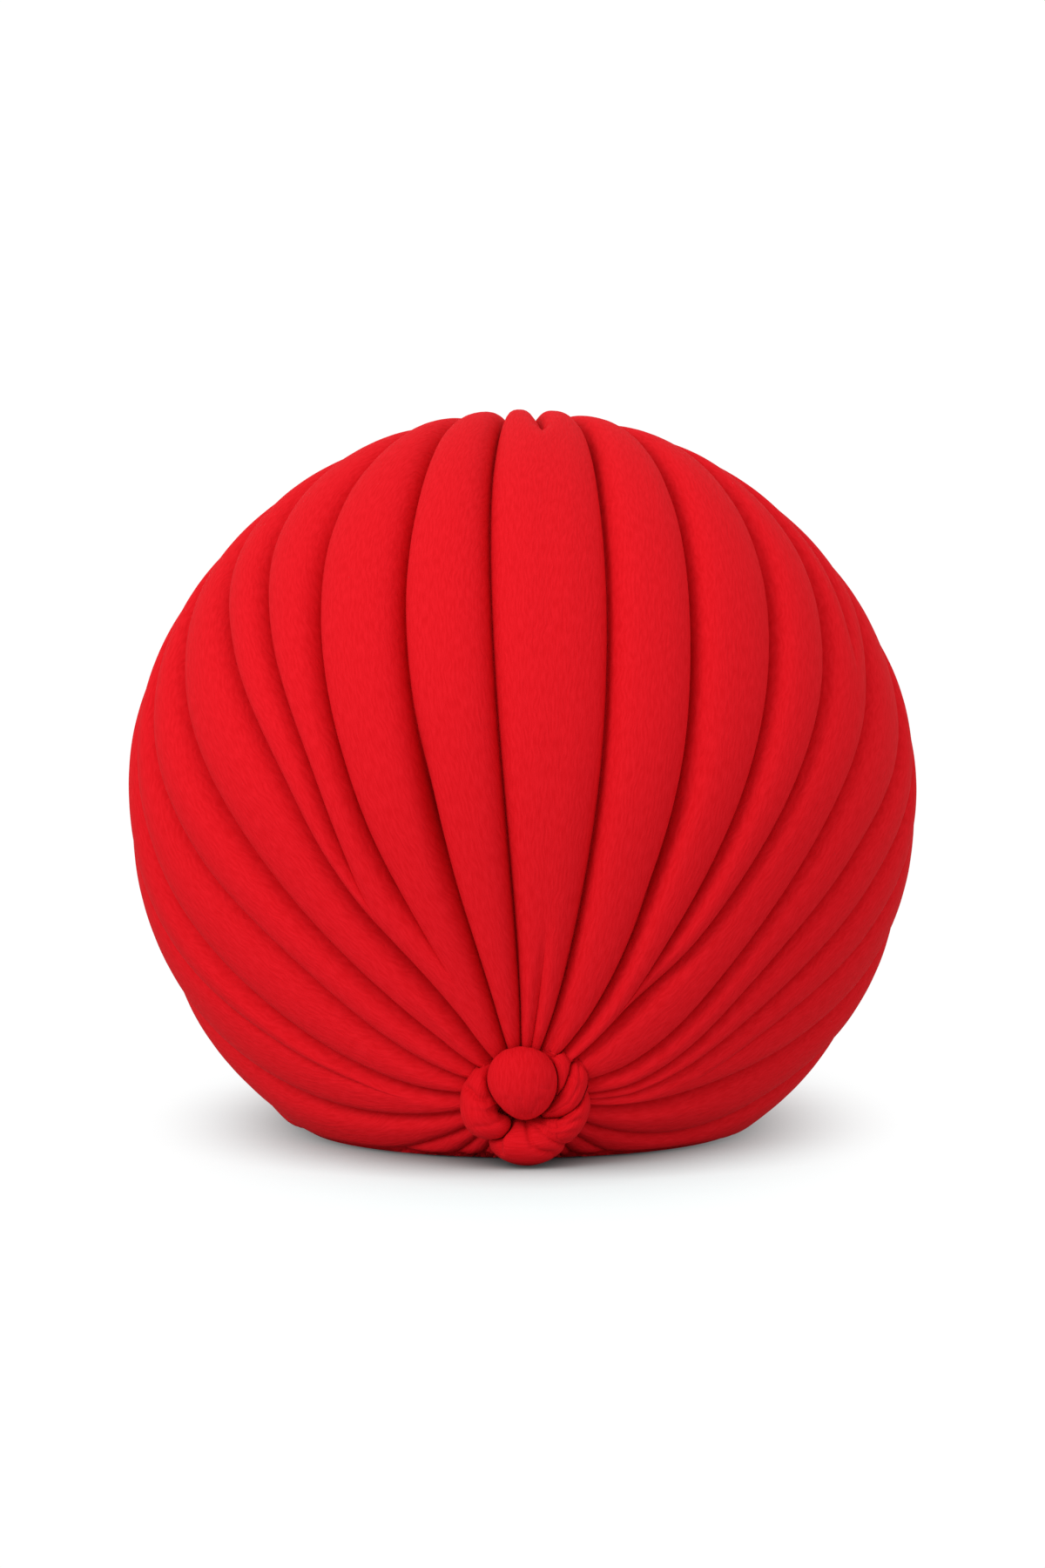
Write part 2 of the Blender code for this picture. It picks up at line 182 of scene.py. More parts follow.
@dataclass(frozen=True)
class CrinkledCrepe:
    """Viscose crepe, knitted and crinkled: matt, with fine wavy ridges and a soft bloom.

    The pattern reads a UV map called cloth, in metres across and along the pleats. Its ridges are
    drawn as coarse as they need to be to show. Their crests are painted a lighter red, a painted
    highlight.
    """

    name: str
    colour: str = "#d2121b"
    # The ridges' crests are mixed towards this lighter red, a painted highlight
    ridge_highlight_colour: str = "#dc1822"
    bloom: str = "#ff9c94"
    ridge_mm: float = 0.55
    ridge_length_mm: float = 4.0
    ridge_height_mm: float = 0.14
    rib_mm: float = 1.1
    rib_length_mm: float = 12.0
    rib_height_mm: float = 0.11
    waver_mm: float = 7.0
    waver_reach_mm: float = 0.9
    fuzz_mm: float = 0.22
    fuzz_height_mm: float = 0.01
    patch_mm: float = 22.0
    # How many finer layers the wide, the narrow and the drawn-out noise have
    soft_detail: float = 2.0
    fuzz_detail: float = 1.0
    ridge_detail: float = 1.5
    # Noise lies mostly in this band, and the patches weaken the ridges down to this share
    noise_band: tuple[float, float] = (0.3, 0.7)
    patch_share: float = 0.35
    roughness: float = 0.86
    specular: float = 0.04
    sheen: float = 0.012
    sheen_roughness: float = 0.45

    def material(self) -> bpy.types.Material:
        """Returns the crepe as a node material."""
        material = bpy.data.materials.new(self.name)
        material.use_nodes = True
        tree = material.node_tree
        shader = tree.nodes["Principled BSDF"]
        shader.inputs["Roughness"].default_value = self.roughness
        shader.inputs["Specular IOR Level"].default_value = self.specular
        shader.inputs["Sheen Weight"].default_value = self.sheen
        shader.inputs["Sheen Roughness"].default_value = self.sheen_roughness
        shader.inputs["Sheen Tint"].default_value = linear(self.bloom)
        per_metre = 1.0 / MILLIMETRE
        place = add_node(tree, "ShaderNodeUVMap", {}, uv_map="cloth")
        cloth = add_node(
            tree,
            "ShaderNodeVectorMath",
            {0: place.outputs["UV"], 1: (per_metre, per_metre, 0.0)},
            operation="MULTIPLY",
        )
        drift = self.add_noise(tree, cloth.outputs[0], self.waver_mm, self.soft_detail)
        centred = add_node(
            tree,
            "ShaderNodeVectorMath",
            {0: drift.outputs["Color"], 1: NOISE_MIDDLE},
            operation="SUBTRACT",
        )
        reach = 2.0 * self.waver_reach_mm
        moved = add_node(
            tree,
            "ShaderNodeVectorMath",
            {0: centred.outputs[0], 1: (reach, reach, 0.0), 2: cloth.outputs[0]},
            operation="MULTIPLY_ADD",
        )
        ridges = self.add_ridges(tree, moved.outputs[0], self.ridge_mm, self.ridge_length_mm)
        ribs = self.add_ridges(tree, moved.outputs[0], self.rib_mm, self.rib_length_mm)
        fuzz = self.add_noise(tree, cloth.outputs[0], self.fuzz_mm, self.fuzz_detail)
        patches = self.add_noise(tree, cloth.outputs[0], self.patch_mm, self.soft_detail)
        low, high = self.noise_band
        strength = add_node(
            tree,
            "ShaderNodeMapRange",
            {
                "Value": patches.outputs["Fac"],
                "From Min": low,
                "From Max": high,
                "To Min": self.patch_share,
            },
        )
        fine = add_node(
            tree,
            "ShaderNodeBump",
            {
                "Height": fuzz.outputs["Fac"],
                "Distance": self.fuzz_height_mm * MILLIMETRE,
                "Strength": 1.0,
            },
        )
        ribbed = add_node(
            tree,
            "ShaderNodeBump",
            {
                "Height": ribs.outputs["Fac"],
                "Distance": self.rib_height_mm * MILLIMETRE,
                "Strength": 1.0,
                "Normal": fine.outputs["Normal"],
            },
        )
        crinkled = add_node(
            tree,
            "ShaderNodeBump",
            {
                "Height": ridges.outputs["Fac"],
                "Distance": self.ridge_height_mm * MILLIMETRE,
                "Strength": strength.outputs["Result"],
                "Normal": ribbed.outputs["Normal"],
            },
        )
        tree.links.new(crinkled.outputs["Normal"], shader.inputs["Normal"])
        # Painted highlight: the colour turns lighter where the ridges' bump rises
        share = add_node(
            tree,
            "ShaderNodeMapRange",
            {"Value": ridges.outputs["Fac"], "From Min": low, "From Max": high},
        )
        painted_light_tone = add_node(
            tree,
            "ShaderNodeMix",
            {
                "Factor": share.outputs["Result"],
                "A": linear(self.colour),
                "B": linear(self.ridge_highlight_colour),
            },
            data_type="RGBA",
        )
        tree.links.new(painted_light_tone.outputs["Result"], shader.inputs["Base Color"])
        return material

    def add_noise(
        self, tree: bpy.types.NodeTree, place: bpy.types.NodeSocket, size_mm: float, detail: float
    ) -> bpy.types.Node:
        """Adds an even noise.

        Args:
            tree: The material's node tree.
            place: The place on the cloth, in millimetres or drawn out.
            size_mm: The size of its patches.
            detail: How many finer layers it has.

        Returns:
            The noise node.
        """
        return add_node(
            tree,
            "ShaderNodeTexNoise",
            {"Vector": place, "Scale": 1.0 / size_mm, "Detail": detail},
            noise_dimensions="2D",
        )

    def add_ridges(
        self,
        tree: bpy.types.NodeTree,
        place: bpy.types.NodeSocket,
        across_mm: float,
        along_mm: float,
    ) -> bpy.types.Node:
        """Adds a noise drawn out along the pleats.

        Args:
            tree: The material's node tree.
            place: The place on the cloth, in millimetres.
            across_mm: The size of its ridges across the pleats.
            along_mm: Their size along the pleats.

        Returns:
            The noise node.
        """
        stretched = add_node(
            tree,
            "ShaderNodeVectorMath",
            {0: place, 1: (1.0 / across_mm, 1.0 / along_mm, 1.0)},
            operation="MULTIPLY",
        )
        return self.add_noise(tree, stretched.outputs[0], 1.0, self.ridge_detail)


@dataclass(frozen=True)
class PaleFloor:
    """Matt white studio floor, which turns to plain white away from the hat.

    It is a little short of red, to take up the red light that the hat throws on it. Its plain
    white lights the hat less than it shows. Near the hat, ambient occlusion darkens its colour: a
    painted contact shadow.
    """

    name: str = "pale_floor"
    colour: str = "#e8fafa"
    widening: tuple[float, float, float] = (2.1, 1.0, 1.0)
    # Painted contact shadow: ambient occlusion over this reach, to this power, darkens the colour
    painted_shadow_reach: float = 0.04
    painted_shadow_power: float = 0.85
    plain_light: float = 0.54
    plain_from: float = 0.08
    plain_to: float = 0.262
    plain_strength: float = 1.02
    roughness: float = 0.9
    specular: float = 0.1

    def material(self) -> bpy.types.Material:
        """Returns the floor as a node material."""
        material = bpy.data.materials.new(self.name)
        material.use_nodes = True
        tree = material.node_tree
        shader = tree.nodes["Principled BSDF"]
        shader.inputs["Roughness"].default_value = self.roughness
        shader.inputs["Specular IOR Level"].default_value = self.specular
        # Painted contact shadow: the floor's colour is darkened by ambient occlusion near the hat
        contact = add_node(tree, "ShaderNodeAmbientOcclusion", {"Distance": self.painted_shadow_reach})
        painted_contact_shadow = add_node(
            tree,
            "ShaderNodeMath",
            {0: contact.outputs["AO"], 1: self.painted_shadow_power},
            operation="POWER",
        )
        painted_light_tone = add_node(
            tree,
            "ShaderNodeVectorMath",
            {0: linear(self.colour)[:3], "Scale": painted_contact_shadow.outputs["Value"]},
            operation="SCALE",
        )
        tree.links.new(painted_light_tone.outputs[0], shader.inputs["Base Color"])
        place = add_node(tree, "ShaderNodeTexCoord", {})
        shade_form = add_node(
            tree,
            "ShaderNodeVectorMath",
            {0: place.outputs["Object"], 1: self.widening},
            operation="MULTIPLY",
        )
        distance = add_node(
            tree, "ShaderNodeVectorMath", {0: shade_form.outputs[0]}, operation="LENGTH"
        )
        away = add_node(
            tree,
            "ShaderNodeMapRange",
            {
                "Value": distance.outputs["Value"],
                "From Min": self.plain_from,
                "From Max": self.plain_to,
            },
            interpolation_type="SMOOTHSTEP",
        )
        plain = add_node(
            tree,
            "ShaderNodeEmission",
            {
                "Color": WHITE,
                "Strength": add_strength(tree, self.plain_light, self.plain_strength),
            },
        )
        mixed = add_node(
            tree,
            "ShaderNodeMixShader",
            {0: away.outputs["Result"], 1: shader.outputs["BSDF"], 2: plain.outputs["Emission"]},
        )
        tree.links.new(mixed.outputs["Shader"], tree.nodes["Material Output"].inputs["Surface"])
        return material


@dataclass(frozen=True)
class Crease:
    """One crease between two pleats.

    Its angles are degrees round the hat from the middle of the front, at the stations on the way
    from knot to gather. It shows from start to end of that way, or outside them where start is
    larger.
    """

    name: str
    angles: tuple[float, float, float, float, float, float]
    start: float = -1.0
    end: float = 2.0
    depth: float = 1.0

    def share(self, way: float, fade: float) -> float:
        """Finds how much of the crease shows.

        Args:
            way: The part, 0 to 1, of the way from knot to gather.
            fade: The part of the way over which it comes or goes.

        Returns:
            Its share, 0 to 1.
        """
        grown = ease((way - self.start) / fade + 0.5)
        left = 1.0 - ease((way - self.end) / fade + 0.5)
        return grown * left if self.start < self.end else max(grown, left)


@dataclass(frozen=True)
class Fold:
    """A crease in one row: its angle, the space to the next one, its reach and its depth."""

    angle: float
    space: float
    reach_left: float
    reach_right: float
    depth: float


@dataclass(frozen=True)
class Pocket:
    """A place where two pleats gape or the cloth is dented.

    Its sizes are degrees round the hat, parts of the way from knot to gather and millimetres.
    """

    name: str
    angle: float
    way: float
    half_angle: float
    half_way: float
    depth_mm: float


class Side(Enum):
    """The two sides of the crown's cloth."""

    OUTSIDE = "outside"
    INSIDE = "inside"


@dataclass(frozen=True)
class SideSizes:
    """How one side of the crown's cloth is laid out, with the values that it takes at the rim."""

    strips: int
    rows: int
    inset: float
    rim_inset: float
    relief: float
    rim_relief: float
    unevenness: float


STATIONS = (0.08, 0.20, 0.35, 0.50, 0.65, 0.78)
CREASES = (
    Crease("left_9", (-129, -131, -132, -132, -132, -133)),
    Crease("left_8", (-114, -115, -116, -116, -115, -115), depth=1.2),
    Crease("left_soft", (-101, -99.5, -102, -102, -102, -102), start=0.12, depth=0.6),
    Crease("left_7", (-96, -93, -92.5, -90, -89.5, -89.5), depth=1.4),
    Crease("left_6", (-77, -75, -79.5, -82.5, -83.5, -83.5), depth=1.3),
    Crease("left_5", (-60, -63, -67.5, -72.9, -77.5, -79), depth=1.5),
    Crease("left_4", (-41, -48.5, -51.8, -59.2, -66.6, -68), depth=1.5),
    Crease("left_3", (-38, -44.5, -45.3, -50.5, -55.2, -55.2), start=0.24, depth=1.2),
    Crease("left_2", (-28, -36.4, -38.8, -40.3, -40.4, -37.2), start=0.16, depth=1.1),
    Crease("left_1", (-18, -20.5, -22.5, -23.2, -22.6, -23), depth=1.2),
    Crease("centre", (-1.5, -3.5, -5.2, -6.2, -6.9, -7.2), depth=1.1),
    Crease("top_tuck", (3, 2, 1, 1.5, 3, 5.5), start=0.785, depth=1.2),
    Crease("low_tuck", (9, 8, 8, 9, 10, 11.5), start=2.0, end=0.10, depth=0.45),
    Crease("right_1", (21, 19, 17.5, 16.8, 17, 18.8), depth=1.1),
    Crease("right_2", (43, 38, 35, 33.4, 33.4, 34), depth=1.1),
    Crease("right_3", (51.5, 50, 49.6, 50.2, 50.6, 50.4), start=0.13),
    Crease("right_4", (56.5, 57.5, 59.5, 62.5, 63, 59)),
    Crease("right_soft", (69, 65, 65.5, 68.5, 70, 68), start=0.56, depth=0.7),
    Crease("right_5", (83, 71.5, 70, 74.5, 77.5, 77), depth=0.9),
    Crease("right_6", (94, 80.5, 80.5, 87, 88.5, 88.5), depth=0.9),
    Crease("right_7", (98.5, 89, 89.5, 94.5, 96, 97), depth=0.8),
    Crease("right_thin", (102, 96, 98, 101, 103, 104), start=0.18, depth=0.5),
    Crease("right_8", (107, 107, 110, 112, 112.5, 114), depth=1.3),
    Crease("right_9", (124, 122, 122, 123, 124, 125.5), depth=0.9),
)
POCKETS = (
    Pocket("left_gape", -21.6, 0.27, 1.6, 0.08, 4.4),
    Pocket("tuck_hole", 8.4, 0.11, 2.0, 0.05, 0.8),
    Pocket("middle_gape", 36.8, 0.27, 1.2, 0.07, 2.8),
    Pocket("right_gape", 54.0, 0.12, 2.6, 0.05, 2.6),
    Pocket("right_low_gape", 107.0, 0.10, 2.4, 0.04, 2.4),
    Pocket("top_hole", 5.3, 0.775, 1.2, 0.010, 2.0),
    Pocket("small_tuck", 27.0, 0.06, 2.2, 0.02, 1.4),
    Pocket("left_dent", -53.0, 0.09, 2.6, 0.025, 0.9),
    Pocket("left_low_dent", -97.0, 0.125, 2.6, 0.03, 0.8),
    Pocket("right_low_dent", 111.0, 0.20, 3.5, 0.05, 0.8),
)


@dataclass
class PleatedCrown:
    """The hollow crown: one pleated cloth wall whose pleats run from the knot to the gather."""

    width: float = 0.240
    front_reach: float = 0.118
    back_reach: float = 0.121
    rise: float = 0.1167
    centre_height: float = 0.1005
    side_drop: float = 0.125
    front_drop: float = 0.145
    top_squareness: float = 1.91
    low_squareness: float = 1.97
    squareness_blend: float = 0.5
    knot_angle: float = radians(-40)
    gather_angle: float = radians(62)
    full_depth: float = 0.0106
    half_depth_width: float = 0.011
    # The side of a pleat that faces left rises steeply, and the other side falls away gently
    steep_roundness: float = 2.9
    gentle_roundness: float = 2.1
    slit_share: float = 0.24
    slit_width: float = 0.0016
    fade: float = 0.12
    hidden_pleats: int = 9
    most_spaces: int = 4
    rim_height: float = 0.016
    hem_radius: float = 0.0022
    knot_seat: tuple[float, float] = (0.0040, 0.014)
    gather_seat: tuple[float, float] = (0.0060, 0.010)
    pocket_reach: float = 3.0
    ripple_mm: tuple[float, float] = (14.0, 45.0)
    # Each pleat reads the cloth's pattern from a place of its own
    pattern_shift: tuple[float, float] = (0.061, 0.037)
    ripple_shift: float = 3.7
    outside: SideSizes = SideSizes(16, 176, 0.0, 0.0, 1.0, 0.30, 0.00035)
    inside: SideSizes = SideSizes(8, 64, 0.0034, 0.0045, 0.88, 0.0, 0.0)

    def __post_init__(self) -> None:
        """Works out the centre and the two poles."""
        self.centre = Vector((0.0, (self.front_reach - self.back_reach) / 2, self.centre_height))
        self.knot_pole = Vector((0.0, -cos(self.knot_angle), sin(self.knot_angle)))
        self.gather_pole = Vector((0.0, cos(self.gather_angle), sin(self.gather_angle)))
        self.pleats = len(CREASES) + self.hidden_pleats - 1

    def envelope(self, direction: Vector) -> Vector:
        """Finds a point of the smooth form over the crests.

        Args:
            direction: A unit direction from the centre.

        Returns:
            The point in that direction.
        """
        reach_y = self.front_reach if direction.y < 0 else self.back_reach
        frontal = direction.y**2 / (direction.x**2 + direction.y**2 + TINY)
        drop = self.side_drop + (self.front_drop - self.side_drop) * frontal
        reach_z = self.rise if direction.z > 0 else drop
        top = ease(direction.z / self.squareness_blend)
        power = self.low_squareness + (self.top_squareness - self.low_squareness) * top
        total = abs(direction.x / (self.width / 2)) ** power
        total += abs(direction.y / reach_y) ** power
        total += abs(direction.z / reach_z) ** power
        return self.centre + direction * total ** (-1.0 / power)

    def direction_at(self, angle: float, way: float) -> Vector:
        """Finds a direction on a pleat, whose plane holds the chord between knot and gather.

        Args:
            angle: The angle round the hat, in radians.
            way: The part, 0 to 1, of the way from knot to gather.

        Returns:
            The unit direction from the crown's centre.
        """
        middle = (self.knot_pole + self.gather_pole) / 2
        axis = (self.gather_pole - self.knot_pole).normalized()
        side = Vector((1.0, 0.0, 0.0))
        outward = side.cross(axis) * cos(angle) + side * sin(angle)
        line = outward * sin(pi * way) - axis * cos(pi * way)
        along = line.dot(middle)
        return middle + line * (sqrt(along**2 - middle.dot(middle) + 1.0) - along)

    def folds_at(self, way: float) -> list[Fold]:
        """Works out one row of folds.

        Args:
            way: The part, 0 to 1, of the way from knot to gather.

        Returns:
            The folds in order round the hat.
        """
        found = [
            (through(STATIONS, crease.angles, way), crease.share(way, self.fade), crease.depth)
            for crease in CREASES
        ]
        first, last = found[0][0] + 360.0, found[-1][0]
        for index in range(1, self.hidden_pleats):
            found.append((last + (first - last) * index / self.hidden_pleats, 1.0, 1.0))
        count = len(found)
        places = [self.envelope(self.direction_at(radians(angle), way)) for angle, _, _ in found]
        spaces = [(places[(index + 1) % count] - places[index]).length for index in range(count)]

        def pleat_width(index: int, step: int) -> float:
            """Measures up to the next crease that shows, going right for 1 and left for -1."""
            total, faded = 0.0, 1.0
            for _ in range(self.most_spaces):
                total += faded * spaces[index if step == 1 else (index - 1) % count]
                index = (index + step) % count
                faded *= 1.0 - found[index][1]
            return total

        row = []
        for index, (angle, shown, scale) in enumerate(found):
            left, right = pleat_width(index, -1), pleat_width(index, 1)
            width = (left + right) / 2
            depth = shown * scale * self.full_depth * width / (width + self.half_depth_width)
            row.append(Fold(angle, spaces[index], left / 2, right / 2, depth))
        return row

    def groove(self, distance: float, reach: float, depth: float, roundness: float) -> float:
        """Finds the depth of one groove beside its crease.

        Args:
            distance: How far the place lies from the crease.
            reach: How far the groove reaches.
            depth: How deep it is at the crease.
            roundness: How full the pleat beside it is.

        Returns:
            How far the cloth lies below the crest.
        """
        slit = self.slit_share * depth * exp(-((distance / self.slit_width) ** 2))
        if distance >= reach or reach <= 0.0:
            return slit
        out = 1.0 - distance / reach
        return slit + depth * (1.0 - sqrt(1.0 - out**roundness))

    def relief(self, row: list[Fold], lobe: int, part: float) -> float:
        """Finds how far the cloth lies below the crests.

        Args:
            row: The folds of the row.
            lobe: Which fold the place comes after.
            part: The part, 0 to 1, of the space up to the next fold.

        Returns:
            The depth in metres.
        """
        count = len(row)
        deepest = 0.0
        distance = part * row[lobe].space
        for step in range(self.most_spaces):
            fold = row[(lobe - step) % count]
            depth = self.groove(distance, fold.reach_right, fold.depth, self.steep_roundness)
            deepest = max(deepest, depth)
            distance += row[(lobe - step - 1) % count].space
        distance = (1.0 - part) * row[lobe].space
        for step in range(1, self.most_spaces + 1):
            fold = row[(lobe + step) % count]
            depth = self.groove(distance, fold.reach_left, fold.depth, self.gentle_roundness)
            deepest = max(deepest, depth)
            distance += fold.space
        return deepest

    def seats(self, point: Vector) -> float:
        """Finds how far the cloth is drawn in round the knot and the gather.

        Args:
            point: A point of the smooth form.

        Returns:
            The depth in metres.
        """
        total = 0.0
        seats = ((self.knot_pole, self.knot_seat), (self.gather_pole, self.gather_seat))
        for pole, (depth, width) in seats:
            total += depth * exp(-(((point - self.envelope(pole)).length / width) ** 2))
        return total

    def pockets(self, angle: float, way: float) -> float:
        """Finds how far the gapes and dents draw the cloth in.

        Args:
            angle: The angle round the hat, in degrees.
            way: The part, 0 to 1, of the way from knot to gather.

        Returns:
            The depth in metres.
        """
        total = 0.0
        for pocket in POCKETS:
            across = ((angle - pocket.angle + 180.0) % 360.0 - 180.0) / pocket.half_angle
            along = (way - pocket.way) / pocket.half_way
            if max(abs(across), abs(along)) < self.pocket_reach:
                total += pocket.depth_mm * MILLIMETRE * exp(-(across**2) - along**2)
        return total

    def hem(self, height: float) -> float:
        """Returns how far the turned-under edge at the rim is rounded off at a height."""
        below = min(max(1.0 - height / self.hem_radius, 0.0), 1.0)
        return self.hem_radius * (1.0 - sqrt(1.0 - below**2))

    def shell(self, side: Side) -> bmesh.types.BMesh:
        """Builds one side of the cloth, open at the rim, from a sphere that follows the creases.

        Args:
            side: Which side of the cloth to build.

        Returns:
            The open mesh, with its cloth UV map in metres across and along the pleats.
        """
        sizes = self.outside if side is Side.OUTSIDE else self.inside
        columns = self.pleats * sizes.strips
        shape = bmesh.new()
        bmesh.ops.create_uvsphere(shape, u_segments=columns, v_segments=sizes.rows, radius=1.0)
        # Strips are narrow beside a crease and wide on the crest
        parts = [(1.0 - cos(pi * index / sizes.strips)) / 2 for index in range(sizes.strips + 1)]
        rows = [self.folds_at(index / sizes.rows) for index in range(sizes.rows + 1)]
        along = self.lengths(sizes.rows)
        outwards = 1.0 if side is Side.OUTSIDE else -1.0
        spots = []
        for vertex in shape.verts:
            level = round(acos(min(max(vertex.co.z, -1.0), 1.0)) / pi * sizes.rows)
            column = round(atan2(vertex.co.y, vertex.co.x) / tau * columns) % columns
            spots.append((level, column))
        cloth = shape.loops.layers.uv.new("cloth")
        shift_across, shift_along = self.pattern_shift
        for face in shape.faces:
            # The poles lie in every column, so they don't tell which one a face is in
            corners = [spots[vertex.index] for vertex in face.verts]
            face_columns = [column for level, column in corners if level % sizes.rows]
            wraps = max(face_columns) - min(face_columns) > 1
            left = max(face_columns) if wraps else min(face_columns)
            lobe = left // sizes.strips
            for loop in face.loops:
                level, column = spots[loop.vert.index]
                at_pole = level % sizes.rows == 0
                step = left % sizes.strips if at_pole else (column - lobe * sizes.strips) % columns
                across = parts[min(step, sizes.strips)] * rows[level][lobe].space
                loop[cloth].uv = (
                    across + lobe * shift_across,
                    along[lobe][level] + lobe * shift_along,
                )
        for vertex in shape.verts:
            level, column = spots[vertex.index]
            lobe, part = column // sizes.strips, parts[column % sizes.strips]
            row = rows[level]
            start, end = row[lobe].angle, row[(lobe + 1) % self.pleats].angle
            angle = start + part * ((end - start) % 360.0)
            way = level / sizes.rows
            point = self.envelope(self.direction_at(radians(angle), way))
            raised = ease(point.z / self.rim_height)
            depth = self.seats(point) + self.pockets(angle, way)
            depth += sizes.rim_inset + (sizes.inset - sizes.rim_inset) * raised
            share = sizes.rim_relief + (sizes.relief - sizes.rim_relief) * raised
            depth += share * self.relief(row, lobe, part)
            depth += outwards * self.hem(point.z)
            if sizes.unevenness:
                across_mm, along_mm = self.ripple_mm
                spot = Vector((
                    part * row[lobe].space / (across_mm * MILLIMETRE),
                    along[lobe][level] / (along_mm * MILLIMETRE),
                    lobe * self.ripple_shift,
                ))
                depth += sizes.unevenness * noise.noise(spot) * raised * sin(pi * part)
            vertex.co = point - (point - self.centre).normalized() * depth
        facing_out(shape)
        cells = shape.verts[:] + shape.edges[:] + shape.faces[:]
        bmesh.ops.bisect_plane(
            shape, geom=cells, dist=TINY / 100, plane_no=(0, 0, 1), clear_inner=True
        )
        if side is Side.INSIDE:
            bmesh.ops.reverse_faces(shape, faces=shape.faces)
        return shape

    def lengths(self, rows: int) -> list[list[float]]:
        """Measures along the pleats.

        Args:
            rows: How many rows the mesh has.

        Returns:
            For each pleat, the length along it from the knot up to each row.
        """
        found = []
        table = [self.folds_at(index / rows) for index in range(rows + 1)]
        for lobe in range(self.pleats):
            total, before, lengths = 0.0, None, []
            for index, row in enumerate(table):
                here = self.envelope(self.direction_at(radians(row[lobe].angle), index / rows))
                total += (here - before).length if before is not None else 0.0
                before = here
                lengths.append(total)
            found.append(lengths)
        return found

    def build(self, crepe: bpy.types.Material) -> tuple[bpy.types.Object, BVHTree]:
        """Builds the crown and puts it in place of its solid.

        Args:
            crepe: The cloth.

        Returns:
            The crown, and a search tree of its outer side for the knot to press against.
        """
        shape = self.shell(Side.OUTSIDE)
        tree = BVHTree.FromBMesh(shape)
        lining = bpy.data.meshes.new("crown_inner_side")
        inner = self.shell(Side.INSIDE)
        inner.to_mesh(lining)
        inner.free()
        shape.from_mesh(lining)
        bpy.data.meshes.remove(lining)
        edge = [item for item in shape.edges if item.is_boundary]
        bmesh.ops.bridge_loops(shape, edges=edge)
        area = sum(face.calc_area() for face in shape.faces)
        log.info("crown area %.4f m2, volume %.1f cm3", area, shape.calc_volume() * CUBIC_CM)
        crown = add_piece("pleated_crown", shape, crepe)
        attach(crown, "root")
        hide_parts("crown")
        return crown, tree


@dataclass(frozen=True)
class Section:
    """A section of a roll: its middle, half its width and half its thickness, in millimetres."""

    right: float
    forward: float
    up: float
    half_width: float
    half_thickness: float


@dataclass(frozen=True)
class Stroke:
    """A shallow crease in a piece of the knot, along a line seen from the front, in millimetres."""

    node: str
    line: tuple[tuple[float, float], ...]
    half_width: float
    depth: float
    sharp_share: float = 0.45

    def press(self, right: float, up: float) -> float:
        """Finds how deep the crease is at a place.

        Args:
            right: How far right the place lies, in millimetres.
            up: How high it lies, in millimetres.

        Returns:
            The depth in millimetres.
        """
        spot = Vector((right, up))
        distances = []
        for start, end in zip(self.line, self.line[1:]):
            first, run = Vector(start), Vector(end) - Vector(start)
            part = min(max((spot - first).dot(run) / run.length_squared, 0.0), 1.0)
            distances.append((spot - first - run * part).length)
        nearest = min(distances)
        wide, sharp = nearest / self.half_width, nearest / (self.half_width * self.sharp_share)
        return self.depth * (exp(-(wide**2)) + exp(-(sharp**2))) / 2


BALL = Section(-0.2, 5.0, 25.3, 10.4, 9.0)
BALL_HALF_HEIGHT_MM = 11.1
ROLLS = {
    "knot_left_turn": (
        Section(-8.0, -2.0, 30.5, 4.0, 5.0),
        Section(-11.4, -2.1, 26.0, 4.5, 7.2),
        Section(-12.6, -0.8, 20.4, 5.7, 8.3),
        Section(-11.0, 0.8, 14.9, 6.4, 8.5),
        Section(-7.2, 1.9, 12.9, 4.7, 6.5),
        Section(-3.4, 1.7, 14.2, 2.5, 3.8),
    ),
    "knot_outer_strand": (
        Section(15.2, -0.8, 31.4, 2.9, 5.0),
        Section(15.8, -1.4, 26.0, 3.5, 7.4),
        Section(12.8, -0.1, 19.4, 3.8, 7.6),
        Section(5.6, 2.0, 15.2, 2.2, 4.3),
    ),
    "knot_right_turn": (
        Section(17.0, -2.5, 24.5, 3.0, 5.0),
        Section(15.8, -2.1, 17.2, 4.2, 7.6),
        Section(11.6, -0.4, 11.8, 4.8, 8.4),
        Section(5.6, -0.1, 11.8, 3.9, 7.6),
        Section(1.2, 0.5, 14.0, 1.9, 3.9),
    ),
    "knot_inner_strand": (
        Section(6.4, -0.2, 33.6, 2.9, 4.2),
        Section(10.2, -0.4, 31.2, 4.1, 5.8),
        Section(11.2, -0.1, 27.2, 3.5, 6.0),
        Section(10.6, 0.0, 22.6, 2.6, 5.4),
        Section(9.4, 1.2, 19.4, 1.6, 3.4),
    ),
    "knot_bottom_turn": (
        Section(-9.8, -1.1, 7.8, 3.5, 6.2),
        Section(-5.5, -1.6, 7.3, 5.4, 9.4),
        Section(1.4, -0.8, 7.3, 7.1, 10.5),
        Section(7.6, -1.4, 8.2, 5.9, 9.7),
        Section(12.6, -1.6, 11.0, 3.8, 6.2),
    ),
}
